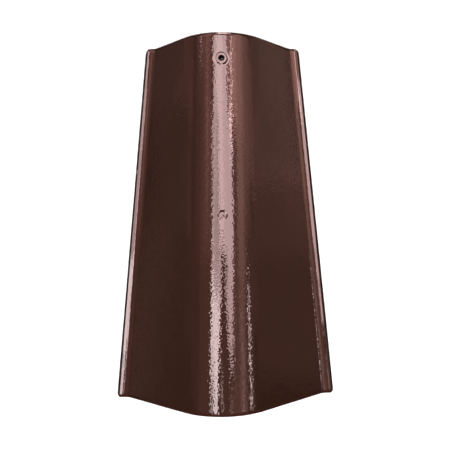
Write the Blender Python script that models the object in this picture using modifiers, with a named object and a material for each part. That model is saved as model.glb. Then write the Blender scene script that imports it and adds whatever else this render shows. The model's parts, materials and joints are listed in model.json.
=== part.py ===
"""Verge tile: a tapered, arched capping tile of glazed clay with a flat lip along each long edge.

The tile lies as it would on a table, on the flat feet under its two lips. Its length runs along Y, with
the narrow head at +Y and the wide tail at -Y. X runs across and Z up. Everything is in metres.
"""
import math

import bmesh
import bpy

# Driving dimensions. A pair gives the value at the head, then at the tail.
LENGTH = 0.430
WIDTH = (0.1926, 0.2682)
HEIGHT = (0.067, 0.0865)
CROWN_RADIUS = (0.066, 0.074)
WALL = 0.013
LIP_HEIGHT = 0.013
LIP_TOP = (0.0011, 0.0030)

# Inside the lip's flat top, a hollow shelf rises to this slope, and a crease joins it to the flank.
SHELF_RADIUS = (0.025, 0.028)
SHELF_SLOPE = math.radians(17.5)
CREASE_RADIUS = 0.003

# The lip's upper outer edge is rounded, and a steep slanting side runs from it to the lip's full width.
LIP_RADIUS = 0.0009
LIP_SIDE_SLOPE = math.radians(65)
LIP_SIDE_REACH = 0.0030

# Roundings of the foot's outer and inner edge.
TOE_RADIUS = 0.0015
HEEL_RADIUS = 0.0025

# The upper edge of both ends is rounded over this length and depth.
END_ROUND_LENGTH = 0.0045
END_ROUND_DEPTH = 0.0018

# Nail hole on the crown near the head: a shallow dish, a seat for the nail's head, and the hole.
NAIL_FROM_HEAD = 0.0303
NAIL_HOLE_RADIUS = 0.0033
NAIL_SEAT_RADIUS = 0.0064
NAIL_SEAT_DEPTH = 0.0018
NAIL_DISH_RADIUS = 0.0100
NAIL_DISH_FLOOR_RADIUS = 0.0070
NAIL_DISH_DEPTH = 0.0005

# Knock-out for a second nail: a shallow round recess on the crown near the middle.
KNOCKOUT_Y = 0.0047
KNOCKOUT_RADIUS = 0.0058
KNOCKOUT_DEPTH = 0.0004

# Small chip on the outer edge of the left lip.
CHIP_FROM_HEAD = 0.1535
CHIP_SIZE = (0.0036, 0.0052, 0.0044)

# How finely the curves are divided.
CROWN_STEPS = 14
FLANK_STEPS = 4
CREASE_STEPS = 3
SHELF_STEPS = 4
LIP_STEPS = 4
TOE_STEPS = 3
HEEL_STEPS = 3
END_STEPS = 4
RUN_STEPS = 9
TURN_STEPS = 36

GLAZE_COLOUR = (0.0190, 0.0076, 0.0049, 1.0)
GLAZE_ROUGHNESS = 0.12


def between(pair, share):
    """Value on the way from the head (share 0) to the tail (share 1)."""
    return pair[0] + (pair[1] - pair[0]) * share


def arc(centre, radius, start, end, steps):
    """Points on an arc; the angle is measured from straight up, towards +X."""
    points = []
    for step in range(steps + 1):
        angle = start + (end - start) * step / steps
        points.append((centre[0] + radius * math.sin(angle), centre[1] + radius * math.cos(angle)))
    return points


def straight(start, end, steps):
    """Points strictly between two ends of a straight run."""
    points = []
    for step in range(1, steps):
        share = step / steps
        points.append((start[0] + (end[0] - start[0]) * share, start[1] + (end[1] - start[1]) * share))
    return points


def tangent_angle(from_centre, to_centre, radii_sum):
    """Slope of the straight line that touches two circles on opposite sides."""
    across = to_centre[0] - from_centre[0]
    down = to_centre[1] - from_centre[1]
    return math.asin(radii_sum / math.hypot(across, down)) - math.atan2(down, across)


def lip_edge_inset():
    """How far in from the lip's full width the centre of its rounded edge lies."""
    return LIP_SIDE_REACH + LIP_RADIUS * math.sin(LIP_SIDE_SLOPE)


def lip_edge(edge_x, half_width, ease):
    """The lip's rounded upper edge, and the foot of its slanting side, both drawn in by ease.

    Where ease takes up the whole rounding, a small one is kept and its centre moves in between both sides.
    """
    radius = max(LIP_RADIUS - ease, 0.0001)
    shift = LIP_RADIUS - ease - radius
    centre = (edge_x + shift * math.tan(LIP_SIDE_SLOPE / 2), LIP_HEIGHT - LIP_RADIUS + shift)
    edge = arc(centre, radius, 0.0, LIP_SIDE_SLOPE, LIP_STEPS)
    side_x = half_width - ease
    side_z = edge[-1][1] - (side_x - edge[-1][0]) * math.tan(LIP_SIDE_SLOPE)
    return edge + [(side_x, side_z)]


def half_section(share, ease):
    """Right half of the section, from the top of the crown round the lip to the crown's underside.

    ease is how far the upper surface is drawn in, square to itself, for the rounded ends.
    """
    half_width = between(WIDTH, share) / 2
    crown_radius = between(CROWN_RADIUS, share)
    crown = (0.0, between(HEIGHT, share) - crown_radius)
    edge_x = half_width - lip_edge_inset()
    toe = (half_width - ease - TOE_RADIUS, TOE_RADIUS)
    shelf_radius = between(SHELF_RADIUS, share)
    shelf = (edge_x - between(LIP_TOP, share), LIP_HEIGHT + shelf_radius)
    shelf_to_crease = shelf_radius - CREASE_RADIUS
    crease = (
        shelf[0] - shelf_to_crease * math.sin(SHELF_SLOPE),
        shelf[1] - shelf_to_crease * math.cos(SHELF_SLOPE),
    )
    flank = tangent_angle(crown, crease, crown_radius + CREASE_RADIUS)

    crown_arc = arc(crown, crown_radius - ease, 0.0, flank, CROWN_STEPS)
    crease_arc = arc(crease, -CREASE_RADIUS - ease, flank, SHELF_SLOPE, CREASE_STEPS)
    shelf_arc = arc(shelf, -shelf_radius - ease, SHELF_SLOPE, 0.0, SHELF_STEPS)
    lip_arc = lip_edge(edge_x, half_width, ease)
    toe_arc = arc(toe, TOE_RADIUS, math.pi / 2, math.pi, TOE_STEPS)

    inner_radius = crown_radius - WALL
    heel_reach = inner_radius + HEEL_RADIUS - (HEEL_RADIUS - crown[1]) * math.cos(flank)
    heel = (heel_reach / math.sin(flank), HEEL_RADIUS)
    heel_arc = arc(heel, HEEL_RADIUS, math.pi, math.pi + flank, HEEL_STEPS)
    inner_arc = arc(crown, inner_radius, flank, 0.0, CROWN_STEPS)

    flank_run = straight(crown_arc[-1], crease_arc[0], FLANK_STEPS)
    upper = crown_arc + flank_run + crease_arc + shelf_arc[1:] + lip_arc
    under = toe_arc + heel_arc + straight(heel_arc[-1], inner_arc[0], FLANK_STEPS) + inner_arc
    return upper + under


def stations():
    """Places along the tile as (y, share, ease), from the head to the tail, close together at the ends."""
    rounded = []
    for step in range(END_STEPS + 1):
        turn = math.pi / 2 * step / END_STEPS
        rounded.append((END_ROUND_LENGTH * (1 - math.cos(turn)), END_ROUND_DEPTH * (1 - math.sin(turn))))
    run = LENGTH - 2 * END_ROUND_LENGTH
    middle = [(END_ROUND_LENGTH + run * step / RUN_STEPS, 0.0) for step in range(1, RUN_STEPS)]
    far = [(LENGTH - back, ease) for back, ease in reversed(rounded)]
    return [(LENGTH / 2 - back, back / LENGTH, ease) for back, ease in rounded + middle + far]


def tile_body(name):
    """The plain tile: its section lofted from the head to the tail, and closed at both ends."""
    mesh = bmesh.new()
    rings = []
    for y, share, ease in stations():
        half = half_section(share, ease)
        outline = half + [(-x, z) for x, z in reversed(half[1:-1])]
        rings.append([mesh.verts.new((x, y, z)) for x, z in outline])
    count = len(rings[0])
    for near, far in zip(rings, rings[1:]):
        for index in range(count):
            after = (index + 1) % count
            mesh.faces.new((near[index], near[after], far[after], far[index]))
    mesh.faces.new(rings[0])
    mesh.faces.new(rings[-1])
    bmesh.ops.recalc_face_normals(mesh, faces=mesh.faces)
    data = bpy.data.meshes.new(name)
    mesh.to_mesh(data)
    mesh.free()
    data.shade_smooth()
    data.set_sharp_from_angle(angle=math.radians(35))
    return bpy.data.objects.new(name, data)


def crown_height(y):
    """Height of the crown's top line above the table at a place along the tile."""
    return between(HEIGHT, 0.5 - y / LENGTH)


def as_cutter(obj, location, collection):
    """Puts a cutter in its place and keeps it out of the model."""
    obj.location = location
    obj.hide_render = True
    obj.display_type = "WIRE"
    collection.objects.link(obj)
    return obj


def turned_cutter(name, profile, y, collection):
    """A cutter turned about the vertical, from (radius, height above the crown) points, top to bottom."""
    data = bpy.data.meshes.new(name)
    edges = [(index, index + 1) for index in range(len(profile) - 1)]
    data.from_pydata([(radius, 0.0, height) for radius, height in profile], edges, [])
    obj = bpy.data.objects.new(name, data)
    turn = obj.modifiers.new("turn", "SCREW")
    turn.steps = TURN_STEPS
    turn.render_steps = TURN_STEPS
    turn.use_merge_vertices = True
    turn.merge_threshold = 0.00001
    return as_cutter(obj, (0.0, y, crown_height(y)), collection)


def nail_hole_cutter(collection):
    """The dish, the nail's seat and the hole through the wall, in one cutter."""
    above = 0.005
    profile = [
        (0.0, above),
        (NAIL_DISH_RADIUS, above),
        (NAIL_DISH_RADIUS, 0.0),
        (NAIL_DISH_FLOOR_RADIUS, -NAIL_DISH_DEPTH),
        (NAIL_SEAT_RADIUS, -NAIL_DISH_DEPTH),
        (NAIL_SEAT_RADIUS, -NAIL_SEAT_DEPTH),
        (NAIL_HOLE_RADIUS, -NAIL_SEAT_DEPTH),
        (NAIL_HOLE_RADIUS, -2 * WALL),
        (0.0, -2 * WALL),
    ]
    return turned_cutter("nail_hole_cutter", profile, LENGTH / 2 - NAIL_FROM_HEAD, collection)


def knockout_cutter(collection):
    """The shallow round recess for a second nail."""
    above = 0.005
    profile = [
        (0.0, above),
        (KNOCKOUT_RADIUS, above),
        (KNOCKOUT_RADIUS, -KNOCKOUT_DEPTH),
        (0.0, -KNOCKOUT_DEPTH),
    ]
    return turned_cutter("knockout_cutter", profile, KNOCKOUT_Y, collection)


def chip_cutter(collection):
    """A blunt lump that takes the chip out of the lip's outer edge."""
    mesh = bmesh.new()
    bmesh.ops.create_icosphere(mesh, subdivisions=1, radius=0.5)
    bmesh.ops.scale(mesh, vec=CHIP_SIZE, verts=mesh.verts)
    data = bpy.data.meshes.new("chip_cutter")
    mesh.to_mesh(data)
    mesh.free()
    half_width = between(WIDTH, CHIP_FROM_HEAD / LENGTH) / 2
    location = (-half_width + LIP_SIDE_REACH, LENGTH / 2 - CHIP_FROM_HEAD, LIP_HEIGHT - LIP_RADIUS)
    return as_cutter(bpy.data.objects.new("chip_cutter", data), location, collection)


def glaze():
    """Dark brown gloss over the whole tile."""
    material = bpy.data.materials.new("brown_glaze")
    material.use_nodes = True
    shader = material.node_tree.nodes["Principled BSDF"]
    shader.inputs["Base Color"].default_value = GLAZE_COLOUR
    shader.inputs["Roughness"].default_value = GLAZE_ROUGHNESS
    shader.inputs["Metallic"].default_value = 0.0
    return material


def new_collection(name):
    collection = bpy.data.collections.new(name)
    bpy.context.scene.collection.children.link(collection)
    return collection


def main():
    for obj in list(bpy.data.objects):
        bpy.data.objects.remove(obj)
    tile_parts = new_collection("verge_tile")
    cutters = new_collection("cutters")
    tile = tile_body("verge_tile")
    tile.data.materials.append(glaze())
    tile_parts.objects.link(tile)
    for cutter in (nail_hole_cutter(cutters), knockout_cutter(cutters), chip_cutter(cutters)):
        cut = tile.modifiers.new(cutter.name, "BOOLEAN")
        cut.operation = "DIFFERENCE"
        cut.solver = "EXACT"
        cut.object = cutter


main()
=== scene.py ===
"""Verge tile: a glossy brown capping tile as a finished piece, on a pale floor in soft studio light."""
import json
import math

import bpy
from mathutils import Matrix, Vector


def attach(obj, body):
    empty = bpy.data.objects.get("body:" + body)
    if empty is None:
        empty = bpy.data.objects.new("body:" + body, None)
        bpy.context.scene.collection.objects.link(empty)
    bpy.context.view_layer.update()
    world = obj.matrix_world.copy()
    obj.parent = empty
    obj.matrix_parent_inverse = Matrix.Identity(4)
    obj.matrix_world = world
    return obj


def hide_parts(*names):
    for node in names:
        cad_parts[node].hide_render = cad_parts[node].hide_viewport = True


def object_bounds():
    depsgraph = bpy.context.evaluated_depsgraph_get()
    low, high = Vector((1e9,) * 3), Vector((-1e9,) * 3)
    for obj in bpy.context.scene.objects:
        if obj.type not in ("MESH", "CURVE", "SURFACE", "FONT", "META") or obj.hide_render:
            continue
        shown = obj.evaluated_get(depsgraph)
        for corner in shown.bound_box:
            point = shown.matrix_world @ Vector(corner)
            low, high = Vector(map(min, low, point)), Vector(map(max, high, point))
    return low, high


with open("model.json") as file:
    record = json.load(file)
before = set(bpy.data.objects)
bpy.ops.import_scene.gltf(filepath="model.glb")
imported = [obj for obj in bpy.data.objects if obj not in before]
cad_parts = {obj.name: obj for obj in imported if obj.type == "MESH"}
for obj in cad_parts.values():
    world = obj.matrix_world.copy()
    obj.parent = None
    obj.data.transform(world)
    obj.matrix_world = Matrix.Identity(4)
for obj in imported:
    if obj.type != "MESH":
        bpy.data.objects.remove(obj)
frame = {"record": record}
CAD_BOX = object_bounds()

bl_info = {
    "name": "Verge tile",
    "version": (1, 0, 0),
    "blender": (4, 5, 0),
    "location": "View3D > Sidebar > Verge tile",
    "description": "Builds a glazed arched capping tile and the small studio that it is shown in",
    "category": "Object",
}

NODE = "verge_tile"
MM = 0.001
SHELF_SLOPE = math.radians(17.5)
LIP_SIDE_SLOPE = math.radians(65)
LENGTH = CAD_BOX[1][1] - CAD_BOX[0][1]
HEAD_Y = LENGTH / 2

# The nail hole stands in the middle of the space that the record keeps open for the nail.
OPENINGS = frame["record"]["physics"]["openings"]
NAIL_BOX = next(opening["box_m"] for opening in OPENINGS if opening["name"] == "nail_hole")
NAIL_Y = (NAIL_BOX[0][1] + NAIL_BOX[1][1]) / 2

SAME_PLACE = 0.01 * MM  # points closer than this count as one
CUTTER_RISE = 6 * MM  # how far the cutters stand above the crown
WAVES_ABOVE = 0.2  # the waves shape what faces up by more than this, by the normal's Z
BARE_BELOW = -0.15  # what faces down past this stays uncoated, by the normal's Z


# ---------------------------------------------------------------- settings

def size(name, text, millimetres):
    return bpy.props.FloatProperty(
        name=name, description=text, default=millimetres * MM, min=0.0, precision=5, unit="LENGTH")


def colour(name, text, default):
    return bpy.props.FloatVectorProperty(
        name=name, description=text, default=default, size=3, min=0.0, max=1.0, subtype="COLOR")


def number(name, text, default):
    return bpy.props.FloatProperty(name=name, description=text, default=default, min=0.0)


class VergeTileSizes(bpy.types.PropertyGroup):
    """The tile's driving sizes. The head is the narrow end and the tail the wide one."""

    head_width: size("Head width", "Width over both lips at the narrow end", 192.6)
    tail_width: size("Tail width", "Width over both lips at the wide end", 268.12)
    head_height: size("Head height", "Height of the crown at the narrow end", 67)
    tail_height: size("Tail height", "Height of the crown at the wide end", 86.5)
    head_crown: size("Head crown radius", "Outer radius of the crown at the narrow end", 66)
    tail_crown: size("Tail crown radius", "Outer radius of the crown at the wide end", 74)
    wall: size("Wall", "Thickness of the arch", 13)
    lip_height: size("Lip height", "Height of both lips above the table", 13)
    head_lip: size("Head lip top", "Width of the lip's flat top at the narrow end", 1.1)
    tail_lip: size("Tail lip top", "Width of the lip's flat top at the wide end", 3.0)
    head_shelf: size("Head shelf radius", "Hollow radius of the shelf by the lip at the narrow end", 25)
    tail_shelf: size("Tail shelf radius", "Hollow radius of the shelf by the lip at the wide end", 28)
    crease_radius: size("Crease rounding", "Radius where the shelf meets the flank", 3)
    lip_radius: size("Lip rounding", "Radius of the lip's upper outer edge", 0.9)
    lip_side: size("Lip side", "Reach of the steep side below the lip's upper outer edge", 3.0)
    toe_radius: size("Toe rounding", "Radius of the foot's outer edge", 1.5)
    heel_radius: size("Heel rounding", "Radius of the foot's inner edge", 2.5)
    end_length: size("End rounding length", "How far the ends' rounding runs along the tile", 4.5)
    end_depth: size("End rounding depth", "How far the ends' rounding drops", 1.8)
    wave_depth: size("Waviness", "Height of the slow waves left by the mould and the coat", 0.12)
    nail_radius: size("Nail hole radius", "Radius of the hole through the wall", 3.3)
    seat_radius: size("Nail seat radius", "Radius of the flat that the nail's head sits on", 6.4)
    seat_depth: size("Nail seat depth", "Depth of the nail's seat under the crown", 1.8)
    dish_radius: size("Dish radius", "Radius of the shallow dish round the nail hole", 10.4)
    dish_depth: size("Dish depth", "Depth of the dish under the crown", 0.42)
    knockout_y: size("Knock-out place", "From the tile's middle to the knock-out, towards the head", 4.7)
    knockout_radius: size("Knock-out radius", "Outer radius of the knock-out's recess", 6.4)
    chip_from_head: size("Chip place", "From the head to the chip in the left lip", 153.5)


class VergeTileLook(bpy.types.PropertyGroup):
    """The tile's finish."""

    coat: colour("Coat", "Colour of the gloss coat", (0.0190, 0.0076, 0.0049))
    coat_thin: colour("Thin coat", "Colour where the coat runs thin and redder", (0.035, 0.010, 0.007))
    body: colour("Body", "Colour of the uncoated underside", (0.150, 0.085, 0.060))
    bare: colour("Bare body", "Colour inside a chip", (0.210, 0.170, 0.160))
    gloss: number("Coat roughness", "Roughness of the gloss coat", 0.03)
    peel: size("Peel depth", "Height of the fine ripple in the coat", 0.15)


class VergeTileStudio(bpy.types.PropertyGroup):
    """Light and floor."""

    floor: colour("Floor", "Colour of the floor to look at", (0.90, 0.90, 0.90))
    floor_mirrored: colour(
        "Mirrored floor", "Colour of the floor for light and reflections", (0.006, 0.006, 0.006))
    soft: number("Soft light", "Brightness of the broad light that the gloss doesn't mirror", 8.0)
    key: number("Panels", "Brightness of the main panels overhead", 12.5)
    side: number("Side panels", "Brightness of the dim panels to the sides", 1.0)
    fill: number("Fill", "Brightness of the surroundings as the tile reflects them", 0.05)
    panel_height: size("Panel height", "Height of the ceiling panels above the table", 1500)


# ---------------------------------------------------------------- modelling helpers

def deselect():
    if bpy.context.object and bpy.context.object.mode != "OBJECT":
        bpy.ops.object.mode_set(mode="OBJECT")
    bpy.ops.object.select_all(action="DESELECT")


def make_active(obj):
    deselect()
    obj.select_set(True)
    bpy.context.view_layer.objects.active = obj


def apply_modifiers(obj):
    make_active(obj)
    for name in [modifier.name for modifier in obj.modifiers]:
        bpy.ops.object.modifier_apply(modifier=name)


def single_vertex(name, place):
    """A new mesh of one vertex, left in edit mode with the vertex selected."""
    deselect()
    bpy.ops.mesh.primitive_plane_add(size=1 * MM, location=place)
    obj = bpy.context.object
    obj.name = name
    bpy.ops.object.transform_apply(location=True, rotation=False, scale=False)
    bpy.ops.object.mode_set(mode="EDIT")
    bpy.ops.mesh.select_mode(type="VERT")
    bpy.ops.mesh.merge(type="CENTER")
    return obj


def extrude_to(start, end, steps=1):
    """Extrudes the selected vertex along a straight line, in equal steps."""
    step = (Vector(end) - Vector(start)) / steps
    for _ in range(steps):
        bpy.ops.mesh.extrude_region_move(TRANSFORM_OT_translate={"value": step})


def spin(centre, angle, steps, axis=(0, 1, 0)):
    """Spins the selection about an axis. About Y, a positive angle turns from up towards +X."""
    bpy.ops.mesh.spin(steps=steps, angle=-angle, center=centre, axis=axis)


def round_point(centre, radius, angle):
    """A point round a centre, across the tile; the angle runs from straight up towards +X."""
    across, up = radius * math.sin(angle), radius * math.cos(angle)
    return Vector((centre[0] + across, centre[1], centre[2] + up))


def select_at(mesh, places):
    """Selects, in object mode, what lies in given planes across the tile."""
    for vertex in mesh.vertices:
        vertex.select = any(abs(vertex.co.y - y) < SAME_PLACE for y in places)
    for edge in mesh.edges:
        edge.select = all(mesh.vertices[index].select for index in edge.vertices)
    for face in mesh.polygons:
        face.select = False


def fix_normals(obj):
    make_active(obj)
    bpy.ops.object.mode_set(mode="EDIT")
    bpy.ops.mesh.select_all(action="SELECT")
    bpy.ops.mesh.normals_make_consistent(inside=False)
    bpy.ops.object.mode_set(mode="OBJECT")


# ---------------------------------------------------------------- the tile's body

def between(head, tail, share):
    return head + (tail - head) * share


def share_at(y):
    """How far a place is from the head (0) to the tail (1)."""
    return 0.5 - y / LENGTH


def crown_height(s, y):
    return between(s.head_height, s.tail_height, share_at(y))


def crown_radius(s, y):
    return between(s.head_crown, s.tail_crown, share_at(y))


def half_width(s, y):
    return between(s.head_width, s.tail_width, share_at(y)) / 2


def tangent_angle(from_centre, to_centre, radii_sum):
    """Slope of the straight line that touches two circles on opposite sides."""
    across = to_centre[0] - from_centre[0]
    down = to_centre[2] - from_centre[2]
    return math.asin(radii_sum / math.hypot(across, down)) - math.atan2(down, across)


def lip_edge(s, edge_x, y, ease):
    """Centre and radius of the lip's rounded upper edge, drawn in by ease.

    Where ease would use up the rounding, the least one stays, and its centre moves in midway between
    the lip's top and its side.
    """
    least = 0.1 * MM
    radius = max(s.lip_radius - ease, least)
    shift = s.lip_radius - ease - radius
    centre_x = edge_x + shift * math.tan(LIP_SIDE_SLOPE / 2)
    centre = (centre_x, y, s.lip_height - s.lip_radius + shift)
    return centre, radius


def draw_half_section(s, y, ease):
    """Draws the right half of the section, from the crown round the lip and back along the underside.

    ease is how far the upper surface is drawn in, square to itself, for the rounded ends.
    """
    share = share_at(y)
    half = half_width(s, y)
    radius = crown_radius(s, y)
    inner = radius - s.wall
    crown = (0.0, y, crown_height(s, y) - radius)
    edge_x = half - s.lip_side - s.lip_radius * math.sin(LIP_SIDE_SLOPE)
    lip, lip_radius = lip_edge(s, edge_x, y, ease)
    lip_side = round_point(lip, lip_radius, LIP_SIDE_SLOPE)
    side_x = half - ease
    side_foot = (side_x, y, lip_side[2] - (side_x - lip_side[0]) * math.tan(LIP_SIDE_SLOPE))
    toe = (half - ease - s.toe_radius, y, s.toe_radius)
    shelf_radius = between(s.head_shelf, s.tail_shelf, share)
    shelf = (edge_x - between(s.head_lip, s.tail_lip, share), y, s.lip_height + shelf_radius)
    crease = round_point(shelf, s.crease_radius - shelf_radius, SHELF_SLOPE)
    flank = tangent_angle(crown, crease, radius + s.crease_radius)
    heel_x = (inner + s.heel_radius - (s.heel_radius - crown[2]) * math.cos(flank)) / math.sin(flank)
    heel = (heel_x, y, s.heel_radius)

    flank_top = round_point(crown, radius - ease, flank)
    flank_foot = round_point(crease, -s.crease_radius - ease, flank)
    lip_inner = round_point(shelf, -shelf_radius - ease, 0.0)
    toe_side = round_point(toe, s.toe_radius, math.pi / 2)
    toe_under = round_point(toe, s.toe_radius, math.pi)
    heel_under = round_point(heel, s.heel_radius, math.pi)
    heel_side = round_point(heel, s.heel_radius, math.pi + flank)

    section = single_vertex("section", round_point(crown, radius - ease, 0.0))
    spin(crown, flank, steps=36)
    extrude_to(flank_top, flank_foot, steps=26)
    spin(crease, SHELF_SLOPE - flank, steps=5)
    spin(shelf, -SHELF_SLOPE, steps=6)
    extrude_to(lip_inner, round_point(lip, lip_radius, 0.0), steps=3)
    spin(lip, LIP_SIDE_SLOPE, steps=6)
    extrude_to(lip_side, side_foot, steps=4)
    extrude_to(side_foot, toe_side, steps=3)
    spin(toe, math.pi / 2, steps=4)
    extrude_to(toe_under, heel_under, steps=6)
    spin(heel, flank, steps=4)
    extrude_to(heel_side, round_point(crown, inner, flank), steps=12)
    spin(crown, -flank, steps=18)
    bpy.ops.object.mode_set(mode="OBJECT")
    return section


def stations(s):
    """Places of the drawn sections as (y, ease), from head to tail, closer at the rounded ends."""
    steps = 5
    ends = []
    for step in range(steps + 1):
        turn = math.pi / 2 * step / steps
        ends.append((s.end_length * (1 - math.cos(turn)), s.end_depth * (1 - math.sin(turn))))
    near = [(HEAD_Y - back, ease) for back, ease in ends]
    return near + [(-y, ease) for y, ease in reversed(near)]


def skin_sections(tile, ys):
    """Bridges each drawn section to the next; the long run between the rounded ends gets many cuts."""
    cuts = 290
    gaps = list(zip(ys, ys[1:]))
    longest = max(gaps, key=lambda gap: gap[0] - gap[1])
    for gap in gaps:
        select_at(tile.data, gap)
        bpy.ops.object.mode_set(mode="EDIT")
        bpy.ops.mesh.select_mode(type="EDGE")
        bpy.ops.mesh.bridge_edge_loops(number_cuts=cuts if gap == longest else 0, interpolation="LINEAR")
        bpy.ops.object.mode_set(mode="OBJECT")


def close_end(tile, y):
    select_at(tile.data, [y])
    bpy.ops.object.mode_set(mode="EDIT")
    bpy.ops.mesh.select_mode(type="EDGE")
    bpy.ops.mesh.edge_face_add()
    bpy.ops.object.mode_set(mode="OBJECT")


def tile_body(s):
    """The plain arched body: half sections drawn at both ends, skinned, mirrored and closed."""
    places = stations(s)
    sections = [draw_half_section(s, y, ease) for y, ease in places]
    deselect()
    for section in sections:
        section.select_set(True)
    tile = sections[0]
    bpy.context.view_layer.objects.active = tile
    bpy.ops.object.join()
    tile.name = "glazed_tile"
    ys = [y for y, _ in places]
    skin_sections(tile, ys)
    mirror = tile.modifiers.new("other half", "MIRROR")
    mirror.merge_threshold = SAME_PLACE
    apply_modifiers(tile)
    close_end(tile, ys[0])
    close_end(tile, ys[-1])
    fix_normals(tile)
    return tile


def add_waves(s, tile):
    """Slow waves over the coated top, dying out towards both ends and leaving out the upright sides."""
    group = tile.vertex_groups.new(name="coated top")
    run_out = 12 * MM
    for vertex in tile.data.vertices:
        if vertex.normal.z > WAVES_ABOVE:
            from_end = HEAD_Y - abs(vertex.co.y)
            group.add([vertex.index], min(1.0, max(0.0, from_end / run_out)), "REPLACE")
    texture = bpy.data.textures.new("slow waves", "CLOUDS")
    texture.noise_scale = 14 * MM
    texture.noise_depth = 1
    waves = tile.modifiers.new("waves", "DISPLACE")
    waves.texture = texture
    waves.texture_coords = "LOCAL"
    waves.direction = "NORMAL"
    waves.vertex_group = group.name
    waves.mid_level = 0.5
    waves.strength = s.wave_depth
    apply_modifiers(tile)


# ---------------------------------------------------------------- holes and chip

def drape_on_crown(cutter, s, y):
    """Lets a cutter follow the crown's fall to both sides, fully so from a little way off its middle."""
    full_from = 1.5 * MM
    for vertex in cutter.data.vertices:
        away = math.hypot(vertex.co.x, vertex.co.y - y)
        share = min(1.0, away / full_from)
        vertex.co.z -= share * vertex.co.x ** 2 / (2 * crown_radius(s, y))


def turn_profile(cutter, y, steps):
    """Turns the drawn profile once round the vertical through the crown's top line."""
    bpy.ops.mesh.select_all(action="SELECT")
    spin((0.0, y, 0.0), math.tau, steps, axis=(0, 0, 1))
    bpy.ops.mesh.select_all(action="SELECT")
    bpy.ops.mesh.remove_doubles(threshold=SAME_PLACE / 2)
    bpy.ops.object.mode_set(mode="OBJECT")
    fix_normals(cutter)


def recess_cutter(s, name, y, radius, slope, rim, run, foot, lift, steps, turns):
    """Cuts a shallow round recess on the crown.

    Its edge is rounded by rim, its side slants in along run, and foot rounds it into the flat floor.
    lift is how far the edge starts above the crown. steps are those of the run, the foot and the floor,
    and turns are those round the recess.
    """
    run_steps, foot_steps, floor_steps = steps
    top = crown_height(s, y)
    above = (0.0, y, top + CUTTER_RISE)
    over = (radius, y, above[2])
    edge = (radius, y, top + lift)
    rim_centre = (radius, y, edge[2] - rim)
    rim_end = round_point(rim_centre, rim, -slope)
    run_end = rim_end - run * Vector((math.cos(slope), 0.0, math.sin(slope)))
    foot_centre = run_end + foot * Vector((-math.sin(slope), 0.0, math.cos(slope)))
    floor = (foot_centre[0], y, foot_centre[2] - foot)
    cutter = single_vertex(name, above)
    extrude_to(above, over, steps=2)
    extrude_to(over, edge, steps=2)
    spin(rim_centre, -slope, steps=5)
    extrude_to(rim_end, run_end, run_steps)
    spin(foot_centre, slope, foot_steps)
    extrude_to(floor, (0.0, y, floor[2]), floor_steps)
    turn_profile(cutter, y, turns)
    drape_on_crown(cutter, s, y)
    return cutter


def dish_cutter(s):
    """Cuts the shallow dish with its soft rim round the nail hole."""
    slope = math.radians(7.5)
    rim = 4.0 * MM
    foot = 3.0 * MM
    lift = 0.02 * MM
    run = (s.dish_depth + lift - (rim + foot) * (1 - math.cos(slope))) / math.sin(slope)
    return recess_cutter(
        s, "dish cutter", NAIL_Y, s.dish_radius, slope, rim, run, foot, lift, steps=(2, 4, 6), turns=96)


def knockout_cutter(s):
    """Cuts the shallow round recess that can be knocked out for a second nail."""
    slope = math.radians(17)
    rim = 1.5 * MM
    foot = 1.5 * MM
    run = 1.8 * MM
    lift = 0.01 * MM
    return recess_cutter(
        s, "knock-out cutter", s.knockout_y, s.knockout_radius, slope, rim, run, foot, lift,
        steps=(1, 5, 5), turns=72)


def nail_cutter(s):
    """Cuts the nail's flat seat and the hole through the wall, with glaze-rounded edges."""
    top = crown_height(s, NAIL_Y)
    soft = 0.5 * MM
    floor = top - s.dish_depth
    seat = top - s.seat_depth
    above = (0.0, NAIL_Y, top + CUTTER_RISE)
    over = (s.seat_radius + soft, NAIL_Y, above[2])
    brink = (s.seat_radius + soft, NAIL_Y, floor)
    wall = (s.seat_radius, NAIL_Y, floor - soft)
    corner = (s.seat_radius, NAIL_Y, seat + soft)
    ledge = (s.seat_radius - soft, NAIL_Y, seat)
    hole_edge = (s.nail_radius + soft, NAIL_Y, seat)
    hole = (s.nail_radius, NAIL_Y, seat - soft)
    below = (s.nail_radius, NAIL_Y, top - 2 * s.wall)
    cutter = single_vertex("nail cutter", above)
    extrude_to(above, over, steps=2)
    extrude_to(over, brink, steps=2)
    spin((brink[0], NAIL_Y, floor - soft), -math.pi / 2, steps=4)
    extrude_to(wall, corner)
    spin((ledge[0], NAIL_Y, corner[2]), math.pi / 2, steps=4)
    extrude_to(ledge, hole_edge, steps=2)
    spin((hole_edge[0], NAIL_Y, hole[2]), -math.pi / 2, steps=4)
    extrude_to(hole, below, steps=10)
    extrude_to(below, (0.0, NAIL_Y, below[2]), steps=2)
    turn_profile(cutter, NAIL_Y, steps=72)
    slant_seat_side(cutter, seat, floor)
    return cutter


def slant_seat_side(cutter, seat, floor):
    """Slants the seat's side towards the tail and the right, where the mould's pin leans.

    The seat itself and the cutter's points on its own axis stay where they are.
    """
    lean = Vector((0.5, -0.87))
    reach = 1.8 * MM
    least_rise = 0.01
    axis_reach = 1 * MM
    for vertex in cutter.data.vertices:
        away = Vector((vertex.co.x, vertex.co.y - NAIL_Y))
        rise = min(1.0, (vertex.co.z - seat) / (floor - seat))
        if rise > least_rise and away.length > axis_reach:
            push = reach * rise * max(0.0, away.normalized().dot(lean))
            vertex.co.xy += away.normalized() * push


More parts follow.
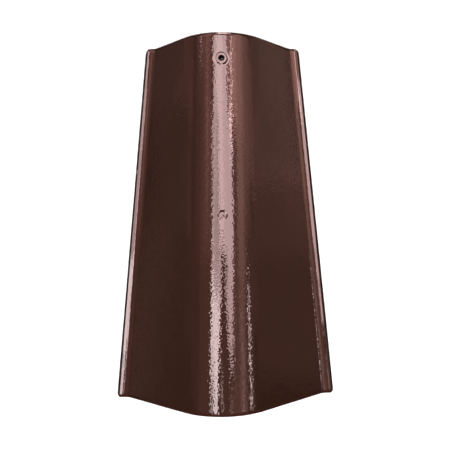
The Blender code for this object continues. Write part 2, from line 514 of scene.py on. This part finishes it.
def chip_cutter(s, material):
    """A rough lump that breaks the chip out of the left lip's outer edge."""
    y = HEAD_Y - s.chip_from_head
    place = (-half_width(s, y) + s.lip_side, y, s.lip_height - s.lip_radius)
    across, along, high = 3.6 * MM, 5.2 * MM, 4.4 * MM
    deselect()
    bpy.ops.mesh.primitive_ico_sphere_add(
        subdivisions=4, radius=0.5, location=place, scale=(across, along, high))
    cutter = bpy.context.object
    cutter.name = "chip cutter"
    bpy.ops.object.transform_apply(location=True, rotation=True, scale=True)
    texture = bpy.data.textures.new("broken edge", "CLOUDS")
    texture.noise_scale = 1.2 * MM
    rough = cutter.modifiers.new("rough", "DISPLACE")
    rough.texture = texture
    rough.texture_coords = "LOCAL"
    rough.mid_level = 0.5
    rough.strength = 1.0 * MM
    apply_modifiers(cutter)
    cutter.data.materials.append(material)
    return cutter


def cut(tile, cutter):
    """Takes a cutter out of the tile and removes it."""
    boolean = tile.modifiers.new("cut", "BOOLEAN")
    boolean.operation = "DIFFERENCE"
    boolean.solver = "EXACT"
    boolean.material_mode = "TRANSFER"
    boolean.object = cutter
    apply_modifiers(tile)
    bpy.data.objects.remove(cutter)


# ---------------------------------------------------------------- materials

class Nodes:
    """Short words for building a node tree."""

    def __init__(self, tree):
        self.tree = tree

    def place(self):
        """The tile's own coordinates."""
        return self.tree.nodes.new("ShaderNodeTexCoord").outputs["Object"]

    def place_xy(self):
        """The tile's own coordinates across it and along it."""
        split = self.tree.nodes.new("ShaderNodeSeparateXYZ")
        self.put(self.place(), split.inputs[0])
        return split.outputs["X"], split.outputs["Y"]

    def put(self, value, socket):
        """Links an output to a socket, or sets the socket's own value."""
        if isinstance(value, bpy.types.NodeSocket):
            self.tree.links.new(value, socket)
        else:
            socket.default_value = value

    def math(self, operation, first, second=0.0):
        node = self.tree.nodes.new("ShaderNodeMath")
        node.operation = operation
        self.put(first, node.inputs[0])
        self.put(second, node.inputs[1])
        return node.outputs[0]

    def ramp(self, value, low, high, to_low=0.0, to_high=1.0):
        """Maps a value from one range to another, smoothly and clamped."""
        node = self.tree.nodes.new("ShaderNodeMapRange")
        node.interpolation_type = "SMOOTHSTEP"
        for entry, socket in zip((value, low, high, to_low, to_high), node.inputs):
            self.put(entry, socket)
        return node.outputs[0]

    def noise(self, grain, detail=0.0, roughness=0.5):
        """Noise in the tile's own place, with grains of a size in millimetres."""
        node = self.tree.nodes.new("ShaderNodeTexNoise")
        self.put(self.place(), node.inputs["Vector"])
        self.put(self.math("DIVIDE", 1.0 / MM, grain), node.inputs["Scale"])
        self.put(detail, node.inputs["Detail"])
        self.put(roughness, node.inputs["Roughness"])
        return node.outputs[0]

    def mix(self, share, first, second):
        """Mixes two colours. The node's colour sockets are told by number, since its names repeat."""
        node = self.tree.nodes.new("ShaderNodeMix")
        node.data_type = "RGBA"
        self.put(share, node.inputs[0])
        self.put(first, node.inputs[6])
        self.put(second, node.inputs[7])
        return node.outputs[2]


def new_group(name, inputs, output):
    """A shader node group of numbers; returns its tree, its words, its inputs and its output."""
    tree = bpy.data.node_groups.new(name, "ShaderNodeTree")
    for label in inputs:
        tree.interface.new_socket(label, in_out="INPUT", socket_type="NodeSocketFloat")
    tree.interface.new_socket(output, in_out="OUTPUT", socket_type="NodeSocketFloat")
    given = tree.nodes.new("NodeGroupInput").outputs
    out = tree.nodes.new("NodeGroupOutput").inputs[output]
    return tree, Nodes(tree), given, out


def ripple_group():
    """Height of a rippled skin: the mean of a coarse swell and a finer ripple."""
    tree, nodes, given, out = new_group("ripple", ["Coarse", "Fine"], "Height")
    both = nodes.math("ADD", nodes.noise(given["Coarse"]), nodes.noise(given["Fine"]))
    nodes.put(nodes.math("DIVIDE", both, 2.0), out)
    return tree


def mottle_group():
    """A cloudy mask from 0 to 1."""
    tree, nodes, given, out = new_group("mottle", ["Size", "Low", "High"], "Mask")
    cloud = nodes.noise(given["Size"], detail=4.0, roughness=0.6)
    nodes.put(nodes.ramp(cloud, given["Low"], given["High"]), out)
    return tree


def use_group(nodes, tree, **values):
    """Puts a node group to use, with a value for each of its inputs, and returns its output."""
    node = nodes.tree.nodes.new("ShaderNodeGroup")
    node.node_tree = tree
    for label, value in values.items():
        nodes.put(value, node.inputs[label])
    return node.outputs[0]


def new_material(name):
    material = bpy.data.materials.new(name)
    material.use_nodes = True
    nodes = Nodes(material.node_tree)
    return material, nodes, material.node_tree.nodes["Principled BSDF"]


def bump(nodes, height, depth):
    node = nodes.tree.nodes.new("ShaderNodeBump")
    nodes.put(1.0, node.inputs["Strength"])
    nodes.put(depth, node.inputs["Distance"])
    nodes.put(height, node.inputs["Height"])
    return node.outputs[0]


def opaque(rgb):
    return (*rgb, 1.0)


def end_mask(nodes, reach):
    """1 at both cut ends of the tile, falling to 0 over the given reach."""
    along = nodes.math("ABSOLUTE", nodes.place_xy()[1])
    return nodes.ramp(along, HEAD_Y - reach, HEAD_Y)


def pressed_mask(nodes, x, y, centre_y, radius):
    """1 in a round recess on the crown, falling to 0 just outside it."""
    fade = 1 * MM
    beside = nodes.math("SUBTRACT", y, centre_y)
    square = nodes.math("ADD", nodes.math("MULTIPLY", x, x), nodes.math("MULTIPLY", beside, beside))
    return nodes.ramp(square, radius ** 2, (radius + fade) ** 2, 1.0, 0.0)


def ripple_depth(nodes, s, depth):
    """Depth of the ripple: full on the open sheet, less on the lips and in both pressed recesses."""
    calm_share = 0.3
    fade_from, fade_to = 13 * MM, 8 * MM
    half = half_width(s, 0.0)
    x, y = nodes.place_xy()
    taper = (s.tail_width - s.head_width) / 2 / LENGTH
    across = nodes.math("ADD", nodes.math("ABSOLUTE", x), nodes.math("MULTIPLY", y, taper))
    lip = nodes.ramp(across, half - fade_from, half - fade_to)
    nail = pressed_mask(nodes, x, y, NAIL_Y, s.dish_radius)
    knockout = pressed_mask(nodes, x, y, s.knockout_y, s.knockout_radius)
    calm = nodes.math("MAXIMUM", lip, nodes.math("MAXIMUM", nail, knockout))
    return nodes.ramp(calm, 0.0, 1.0, depth, calm_share * depth)


def gloss_coat(s, look, ripple, mottle):
    """Glossy chocolate-brown coat: rippled, a little cloudy, thinner and redder along the cut ends."""
    material, nodes, shader = new_material("gloss coat")
    cloudiness = 0.12
    patchiness = 0.02
    thin_end = 5 * MM
    cloud = use_group(nodes, mottle, Size=40.0, Low=0.42, High=0.72)
    thin = nodes.math("MAXIMUM", nodes.math("MULTIPLY", cloud, cloudiness), end_mask(nodes, thin_end))
    nodes.put(nodes.mix(thin, opaque(look.coat), opaque(look.coat_thin)), shader.inputs["Base Color"])
    patch = nodes.math("MULTIPLY", use_group(nodes, mottle, Size=9.0, Low=0.35, High=0.75), patchiness)
    nodes.put(nodes.math("ADD", patch, look.gloss), shader.inputs["Roughness"])
    shader.inputs["IOR"].default_value = 1.52
    shader.inputs["Specular Tint"].default_value = (1.0, 0.74, 0.74, 1.0)
    height = use_group(nodes, ripple, Coarse=2.5, Fine=1.9)
    nodes.put(bump(nodes, height, ripple_depth(nodes, s, look.peel)), shader.inputs["Normal"])
    return material


def dull_body(name, rgb, shade, roughness, depth, mottle, patches, ripple, grain):
    """A dull clay surface, in patches that darken to a share of its colour, with a grain of some depth."""
    material, nodes, shader = new_material(name)
    dark = tuple(shade * channel for channel in rgb)
    mask = use_group(nodes, mottle, **patches)
    nodes.put(nodes.mix(mask, opaque(dark), opaque(rgb)), shader.inputs["Base Color"])
    shader.inputs["Roughness"].default_value = roughness
    nodes.put(bump(nodes, use_group(nodes, ripple, **grain), depth), shader.inputs["Normal"])
    return material


def bare_body(look, ripple, mottle):
    """Dull brown body of the uncoated underside, with a sandy grain."""
    return dull_body(
        "bare underside", look.body, shade=0.72, roughness=0.85, depth=0.15 * MM,
        mottle=mottle, patches={"Size": 25.0, "Low": 0.35, "High": 0.7},
        ripple=ripple, grain={"Coarse": 1.6, "Fine": 0.5})


def broken_body(look, ripple, mottle):
    """Pale grainy body inside the chip."""
    return dull_body(
        "broken body", look.bare, shade=0.55, roughness=0.8, depth=0.1 * MM,
        mottle=mottle, patches={"Size": 1.5, "Low": 0.3, "High": 0.7},
        ripple=ripple, grain={"Coarse": 0.9, "Fine": 0.4})


def bare_the_underside(tile, index):
    """Gives the faces under the arch and under the feet the uncoated finish."""
    for face in tile.data.polygons:
        if face.normal.z < BARE_BELOW:
            face.material_index = index


# ---------------------------------------------------------------- operators

class MESH_OT_verge_tile(bpy.types.Operator):
    """Builds the glazed tile in place of its plain solid"""

    bl_idname = "mesh.verge_tile"
    bl_label = "Verge tile"

    def execute(self, context):
        s = context.scene.verge_tile_sizes
        look = context.scene.verge_tile_look
        ripple = ripple_group()
        mottle = mottle_group()
        tile = tile_body(s)
        coat = gloss_coat(s, look, ripple, mottle)
        bare = bare_body(look, ripple, mottle)
        broken = broken_body(look, ripple, mottle)
        for material in (coat, bare, broken):
            tile.data.materials.append(material)
        bare_the_underside(tile, tile.data.materials.find(bare.name))
        add_waves(s, tile)
        for cutter in (dish_cutter(s), nail_cutter(s), knockout_cutter(s), chip_cutter(s, broken)):
            cut(tile, cutter)
        make_active(tile)
        sharp_from = math.radians(40)
        bpy.ops.object.shade_smooth_by_angle(angle=sharp_from)
        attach(tile, "root")
        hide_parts(NODE)
        return {"FINISHED"}


# Tints of the panels, from plain to the warmest.
PLAIN = (1.0, 1.0, 1.0)
COOL = (0.95, 1.0, 1.0)
ROSY = (1.0, 0.91, 0.90)
WARM = (1.0, 0.66, 0.57)
AMBER = (1.0, 0.54, 0.47)

# Places and sizes of the panels are in metres. Each brightness is a share of the studio's key or side.
PANEL_GAP = 2 * MM  # from each ceiling panel up to the next, and from the floor up to those that lie on it


def panel_light(name, place, width, length, brightness, tint):
    """A panel that faces down, its width along X and its length along Y, seen in the gloss alone."""
    data = bpy.data.lights.new(name, "AREA")
    data.shape = "RECTANGLE"
    data.size = width
    data.size_y = length
    data.energy = brightness * math.pi * width * length
    data.color = tint
    obj = bpy.data.objects.new(name, data)
    obj.location = place
    obj.visible_camera = False
    obj.visible_diffuse = False
    bpy.context.scene.collection.objects.link(obj)
    return obj


def ceiling_panel(studio, name, start, end, width, brightness, tint=ROSY):
    """A ceiling panel whose middle line runs from start to end.

    Each panel hangs a little above the last, since two in one plane would hide each other.
    """
    run = Vector(end) - Vector(start)
    middle = (Vector(start) + Vector(end)) / 2
    height = studio.panel_height + PANEL_GAP * len(bpy.data.lights)
    panel = panel_light(name, (middle.x, middle.y, height), width, run.length, brightness, tint)
    panel.rotation_euler = (0.0, 0.0, math.atan2(-run.x, run.y))


def wide_panel(studio, name, left, right, tail, head, brightness, tint):
    """A ceiling panel between two places along X and two along Y."""
    middle = (left + right) / 2
    ceiling_panel(studio, name, (middle, tail), (middle, head), right - left, brightness, tint)


def standing_panel(name, place, facing, width, height, brightness, tint):
    """A panel that stands upright and faces a given way across the floor, by its angle from +X."""
    panel = panel_light(name, place, width, height, brightness, tint)
    panel.rotation_euler = (math.radians(90), 0.0, math.radians(facing - 90))


def lying_panel(name, place, width, length, brightness, tint):
    """A dim panel on the floor that faces up, seen in the tile's steep sides."""
    panel = panel_light(name, (*place, PANEL_GAP), width, length, brightness, tint)
    panel.rotation_euler = (math.pi, 0.0, 0.0)


def hang_key_panels(studio):
    """The main light overhead, parted like a wedge towards the tail."""
    key = studio.key
    seam = 0.62
    end = 1.15
    ceiling_panel(studio, "key middle", (-0.10, 0.04), (-0.10, seam), 0.24, 1.02 * key)
    ceiling_panel(studio, "key middle head", (-0.13, seam), (-0.13, end), 0.30, 1.05 * key)
    ceiling_panel(studio, "key middle right", (0.11, 0.00), (0.11, end), 0.18, 0.82 * key)
    ceiling_panel(studio, "key middle rim", (0.22, seam), (0.22, end), 0.04, 0.80 * key)
    ceiling_panel(studio, "key right", (0.345, -0.06), (0.345, seam), 0.29, 0.80 * key)
    ceiling_panel(studio, "key right head", (0.35, seam), (0.35, end), 0.30, 0.26 * key, WARM)
    ceiling_panel(studio, "key right outer", (0.65, 0.58), (0.65, end), 0.30, 0.27 * key, WARM)
    ceiling_panel(studio, "key right edge", (0.440, 0.48), (0.480, 0.86), 0.08, 0.95 * key)
    ceiling_panel(studio, "key right tip", (0.480, 0.86), (0.560, 1.10), 0.08, 0.80 * key)
    ceiling_panel(studio, "key left", (-0.430, -0.12), (-0.400, seam), 0.35, 0.57 * key)
    ceiling_panel(studio, "key left head", (-0.385, seam), (-0.385, end), 0.21, 0.80 * key)
    ceiling_panel(studio, "key left spot", (-0.450, 0.32), (-0.440, 0.60), 0.12, 0.18 * key)
    ceiling_panel(studio, "key left edge", (-0.600, -0.25), (-0.545, 0.25), 0.07, 0.42 * key)
    ceiling_panel(studio, "key left tail", (-0.495, -0.50), (-0.435, -0.12), 0.36, 0.95 * key, COOL)
    ceiling_panel(studio, "key left end", (-0.455, -0.57), (-0.455, -0.50), 0.24, 0.85 * key, COOL)
    ceiling_panel(studio, "key left tip", (-0.440, -0.98), (-0.440, -0.57), 0.22, 1.15 * key, COOL)
    ceiling_panel(studio, "key left rim", (-0.655, -0.50), (-0.620, -0.05), 0.09, 0.40 * key, COOL)
    ceiling_panel(studio, "tail gap", (0.150, -1.00), (0.150, -0.10), 0.80, 0.45 * studio.side, AMBER)
    ceiling_panel(studio, "key core", (-0.450, -0.54), (-0.420, -0.16), 0.16, 0.35 * key, COOL)
    ceiling_panel(studio, "key inner tail", (-0.290, -0.34), (-0.165, 0.02), 0.12, 0.80 * key)
    ceiling_panel(studio, "key tail line", (-0.725, -0.80), (-0.700, -0.30), 0.055, 0.90 * key, COOL)
    ceiling_panel(studio, "key tail spot", (-0.150, -0.62), (-0.150, -0.44), 0.07, 0.35 * key)
    for across, tail in ((0.355, -0.41), (0.285, -0.40), (0.215, -0.33), (0.145, -0.23), (0.075, -0.12)):
        ceiling_panel(studio, "key wedge", (across, tail), (across, -0.06), 0.07, 0.70 * key)
    ceiling_panel(studio, "key wedge", (0.425, -0.20), (0.425, -0.06), 0.07, 0.70 * key)
    ceiling_panel(studio, "key wedge", (0.425, -0.44), (0.425, -0.20), 0.07, 0.32 * key)
    ceiling_panel(studio, "key head", (0.125, 1.72), (0.125, 2.90), 0.95, 0.80 * key)
    standing_panel("head wall", (0.05, 3.0, 1.1), -90, 0.8, 2.2, 1.05 * key, ROSY)


def hang_side_panels(studio):
    """Dimmer and warmer panels to both sides, brighter towards the head and towards the middle."""
    side = studio.side
    tail, head = -1.0, 2.2
    wide_panel(studio, "left", -3.2, -0.66, tail, head, 0.25 * side, AMBER)
    wide_panel(studio, "left mid", -2.4, -0.66, 0.05, head, 0.25 * side, AMBER)
    wide_panel(studio, "left near", -1.65, -0.64, tail, head, 0.33 * side, AMBER)
    wide_panel(studio, "left head", -1.30, -0.62, 0.0, head, 0.35 * side, AMBER)
    wide_panel(studio, "left inner", -1.10, -0.50, 0.42, head, 0.60 * side, AMBER)
    wide_panel(studio, "left far", -1.85, -0.60, 1.05, head, 0.50 * side, AMBER)
    wide_panel(studio, "left end", -2.20, -0.35, 1.40, 2.9, 1.30 * side, WARM)
    wide_panel(studio, "left spot", -1.635, -1.565, 1.18, 1.50, 8.0 * side, ROSY)
    wide_panel(studio, "left line", -0.995, -0.935, 0.20, 1.30, 1.6 * side, ROSY)
    wide_panel(studio, "right", 0.50, 1.30, tail, head, 0.90 * side, WARM)
    wide_panel(studio, "right near", 0.80, 1.30, tail, head, 0.75 * side, WARM)
    wide_panel(studio, "right mid", 0.80, 1.60, -0.1, head, 0.60 * side, WARM)
    wide_panel(studio, "right inner", 0.80, 1.30, 0.2, head, 0.60 * side, WARM)
    wide_panel(studio, "right head", 0.50, 1.60, 0.62, head, 0.80 * side, WARM)
    wide_panel(studio, "right edge", 0.50, 0.62, 0.00, 0.6, 1.20 * side, WARM)
    wide_panel(studio, "right outer", 1.30, 2.40, tail, head, 0.42 * side, WARM)
    wide_panel(studio, "right far", 1.30, 2.10, 0.20, head, 0.70 * side, WARM)
    wide_panel(studio, "right beyond", 1.60, 3.20, 0.50, 1.7, 0.50 * side, WARM)
    wide_panel(studio, "right end", 1.95, 3.30, 0.60, 1.7, 0.40 * side, AMBER)
    wide_panel(studio, "right last", 2.30, 3.30, -0.50, 1.5, 0.35 * side, AMBER)
    ceiling_panel(studio, "right tip", (0.330, -0.98), (0.330, -0.58), 0.20, 2.2 * side, ROSY)
    ceiling_panel(studio, "right streak", (1.030, -0.90), (1.030, -0.20), 0.09, 1.6 * side, ROSY)
    ceiling_panel(studio, "right strip", (1.760, -0.90), (1.680, -0.12), 0.10, 1.25 * studio.key, PLAIN)


def stand_side_panels(studio):
    """Dim walls and patches of floor that the steep flanks mirror."""
    side = studio.side
    standing_panel("left wall", (-3.0, 1.2, 0.75), 0, 2.0, 1.5, 0.25 * side, AMBER)
    standing_panel("left far wall", (-2.9, 1.8, 0.75), 0, 1.6, 1.5, 0.30 * side, AMBER)
    standing_panel("left mid wall", (-2.96, 0.5, 0.62), 0, 0.6, 0.75, 0.15 * side, AMBER)
    standing_panel("left tail wall", (-2.98, -0.65, 0.75), 0, 1.7, 1.5, 0.08 * side, AMBER)
    standing_panel("left tail high wall", (-2.94, -0.2, 1.0), 0, 0.9, 1.05, 0.14 * side, AMBER)
    standing_panel("left tail low wall", (-2.92, -0.4, 0.15), 0, 1.2, 0.3, 0.30 * side, AMBER)
    standing_panel("left high wall", (-2.88, 0.75, 1.02), 0, 1.3, 0.45, 0.20 * side, AMBER)
    standing_panel("right foot wall", (2.92, 1.0, 0.1), 180, 0.9, 0.2, 0.25 * side, AMBER)
    standing_panel("right wall", (3.0, 1.25, 0.75), 180, 2.5, 1.5, 0.20 * side, WARM)
    standing_panel("right far wall", (2.9, 1.5, 0.75), 180, 2.0, 1.5, 0.45 * side, WARM)
    standing_panel("right tail wall", (2.98, -0.12, 0.8), 180, 1.5, 1.6, 0.32 * side, AMBER)
    standing_panel("right high wall", (2.96, 0.9, 0.95), 180, 0.4, 1.1, 0.25 * side, AMBER)
    standing_panel("right low wall", (2.94, 0.36, 0.1), 180, 0.4, 0.2, 0.25 * side, AMBER)
    lying_panel("left floor", (-1.6, 0.90), 2.8, 1.4, 0.25 * side, AMBER)
    lying_panel("right floor", (1.6, 1.15), 2.8, 1.7, 0.70 * side, WARM)


def hang_soft_light(studio):
    """The broad soft light from above on the tile and the floor, which the gloss doesn't mirror."""
    width = 1.4
    soft = panel_light("soft light", (0.0, -0.2, studio.panel_height), width, width, studio.soft, PLAIN)
    soft.visible_diffuse = True
    soft.visible_glossy = False


def camera_sees(nodes, seen, otherwise):
    """One colour where the camera looks straight at it, and another for light and reflections."""
    path = nodes.tree.nodes.new("ShaderNodeLightPath")
    return nodes.mix(path.outputs["Is Camera Ray"], opaque(otherwise), opaque(seen))


def lay_floor(studio):
    """A pale floor just under the tile, which lights it and mirrors in it as if it were dark card."""
    width = 6.0
    below = 0.2 * MM
    deselect()
    bpy.ops.mesh.primitive_plane_add(size=width, location=(0.0, 0.0, -below))
    floor = bpy.context.object
    floor.name = "floor"
    bpy.ops.object.transform_apply(location=True, rotation=False, scale=False)
    material, nodes, shader = new_material("pale floor")
    nodes.put(camera_sees(nodes, studio.floor, studio.floor_mirrored), shader.inputs["Base Color"])
    shader.inputs["Roughness"].default_value = 0.7
    shader.inputs["Specular IOR Level"].default_value = 0.2
    floor.data.materials.append(material)


def light_surroundings(studio):
    """A pale backdrop to look at, and dim surroundings for the tile to mirror."""
    world = bpy.data.worlds.new("studio")
    bpy.context.scene.world = world
    world.use_nodes = True
    nodes = Nodes(world.node_tree)
    dim = tuple(studio.fill * channel for channel in WARM)
    background = world.node_tree.nodes["Background"]
    nodes.put(camera_sees(nodes, PLAIN, dim), background.inputs["Color"])


def place_camera():
    """The camera, nearly straight above the tile, with its frame shifted to set the tile in the picture."""
    data = bpy.data.cameras.new("camera")
    data.lens = 40.0
    data.sensor_width = 36.0
    data.shift_x = -0.0609
    data.shift_y = -0.0176
    camera = bpy.data.objects.new("camera", data)
    camera.location = (16.8 * MM, -12.4 * MM, 633.5 * MM)
    camera.rotation_euler = [math.radians(angle) for angle in (1.51, -1.67, -0.65)]
    bpy.context.scene.collection.objects.link(camera)
    bpy.context.scene.camera = camera


class SCENE_OT_verge_tile_stage(bpy.types.Operator):
    """Lays the floor, hangs the light panels and places the camera"""

    bl_idname = "scene.verge_tile_stage"
    bl_label = "Stage"

    def execute(self, context):
        studio = context.scene.verge_tile_studio
        lay_floor(studio)
        light_surroundings(studio)
        hang_key_panels(studio)
        hang_side_panels(studio)
        stand_side_panels(studio)
        hang_soft_light(studio)
        place_camera()
        context.scene.view_settings.view_transform = "Standard"
        return {"FINISHED"}


class VIEW3D_PT_verge_tile(bpy.types.Panel):
    """Lists the tile's operators and sizes"""

    bl_label = "Verge tile"
    bl_space_type = "VIEW_3D"
    bl_region_type = "UI"
    bl_category = "Verge tile"

    def draw(self, context):
        layout = self.layout
        layout.operator(MESH_OT_verge_tile.bl_idname)
        layout.operator(SCENE_OT_verge_tile_stage.bl_idname)
        scene = context.scene
        for group in (scene.verge_tile_sizes, scene.verge_tile_look, scene.verge_tile_studio):
            column = layout.box().column()
            for key in group.__annotations__:
                column.prop(group, key)


CLASSES = (
    VergeTileSizes,
    VergeTileLook,
    VergeTileStudio,
    MESH_OT_verge_tile,
    SCENE_OT_verge_tile_stage,
    VIEW3D_PT_verge_tile,
)


def register():
    for cls in CLASSES:
        bpy.utils.register_class(cls)
    bpy.types.Scene.verge_tile_sizes = bpy.props.PointerProperty(type=VergeTileSizes)
    bpy.types.Scene.verge_tile_look = bpy.props.PointerProperty(type=VergeTileLook)
    bpy.types.Scene.verge_tile_studio = bpy.props.PointerProperty(type=VergeTileStudio)


def unregister():
    del bpy.types.Scene.verge_tile_studio
    del bpy.types.Scene.verge_tile_look
    del bpy.types.Scene.verge_tile_sizes
    for cls in reversed(CLASSES):
        bpy.utils.unregister_class(cls)


def main():
    register()
    bpy.ops.mesh.verge_tile()
    bpy.ops.scene.verge_tile_stage()


if __name__ == "__main__":
    main()
